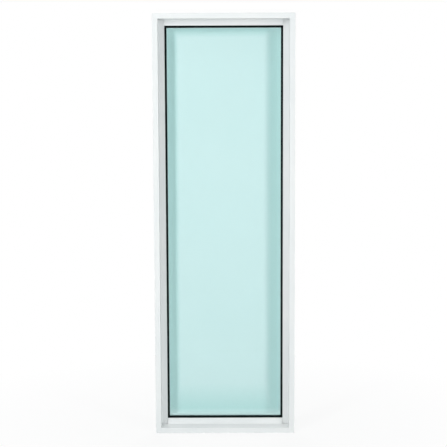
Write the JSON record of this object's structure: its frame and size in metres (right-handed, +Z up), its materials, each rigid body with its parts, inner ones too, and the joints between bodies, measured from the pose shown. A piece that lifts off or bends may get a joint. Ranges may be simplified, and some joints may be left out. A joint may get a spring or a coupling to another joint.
{
  "type": "fixed aluminium window",
  "caption": "Tall narrow fixed window: white aluminium frame with a deep front recess, snap-in sloped beads, black gaskets and a pale green tinted pane.",
  "frame": {"origin": "middle of the sill's underside, at half the frame's depth", "axes": "+Z up, +X to the right seen from the bead side, -Y out of the face with the beads"},
  "size_m": [0.6, 0.11, 1.8],
  "materials": {
    "white_frame": "white satin powder coat on extruded aluminium",
    "black_gasket": "matt black extruded rubber",
    "tinted_glass": "clear float glass with a pale green-blue tint",
    "glazing_block": "moulded plastic"
  },
  "bodies": {
    "root": {"head": "white_frame", "sill": "white_frame", "left_jamb": "white_frame", "right_jamb": "white_frame", "head_bead": "white_frame", "sill_bead": "white_frame", "left_bead": "white_frame", "right_bead": "white_frame", "head_front_gasket": "black_gasket", "sill_front_gasket": "black_gasket", "left_front_gasket": "black_gasket", "right_front_gasket": "black_gasket", "head_rear_gasket": "black_gasket", "sill_rear_gasket": "black_gasket", "left_rear_gasket": "black_gasket", "right_rear_gasket": "black_gasket", "left_setting_block": "glazing_block", "right_setting_block": "glazing_block", "left_location_block": "glazing_block", "right_location_block": "glazing_block", "glass_pane": "tinted_glass"}
  },
  "joints": []
}
